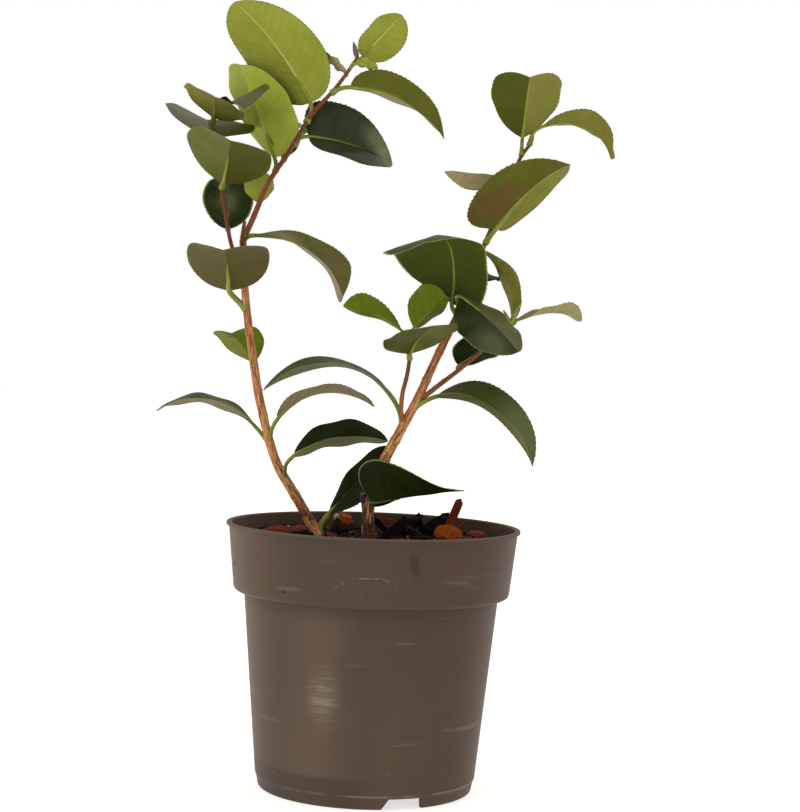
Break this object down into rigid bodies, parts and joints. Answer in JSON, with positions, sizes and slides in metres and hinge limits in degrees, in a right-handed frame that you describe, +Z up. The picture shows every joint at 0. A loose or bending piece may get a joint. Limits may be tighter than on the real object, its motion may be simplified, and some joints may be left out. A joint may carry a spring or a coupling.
{
  "type": "camellia shrub",
  "caption": "Young camellia with slender forked stems and sparse, leathery oval leaves, growing in a round matt plastic nursery pot filled with bark-topped potting mix.",
  "frame": {"origin": "on the pot's axis, at the level that the pot stands on, which is the bottom centre of the whole plant's box", "axes": "+Z up, the longest way; +X to the right and -Y to the front, as the plant is usually looked at"},
  "size_m": [0.2311, 0.15, 0.3974],
  "materials": {
    "pot_plastic": "matt taupe brown plastic, lightly scuffed",
    "potting_mix": "dark, crumbly, with bark chips",
    "bark": "thin smooth red-brown bark",
    "foliage": "leathery green leaves, glossy above and dull olive below"
  },
  "bodies": {
    "root": {"pot": "pot_plastic", "potting_mix": "potting_mix", "left_stem": "bark", "right_stem": "bark", "left_leader": "bark", "left_side": "bark", "left_spur": "bark", "right_leader": "bark", "right_inner": "bark", "right_outer": "bark", "foliage_left_leader": "foliage", "foliage_left_side": "foliage", "foliage_right_inner": "foliage", "foliage_right_leader": "foliage", "foliage_right_outer": "foliage", "leaf_left_back": "foliage", "leaf_left_foot": "foliage", "leaf_left_fork": "foliage", "leaf_left_front": "foliage", "leaf_left_leader": "foliage", "leaf_left_low_inner": "foliage", "leaf_left_low_outer": "foliage", "leaf_left_mid_inner": "foliage", "leaf_right_broad": "foliage", "leaf_right_drooping": "foliage", "leaf_right_foot": "foliage", "leaf_right_hanging": "foliage", "leaf_right_knuckle": "foliage", "leaf_right_long": "foliage", "leaf_right_tucked": "foliage"}
  },
  "joints": []
}
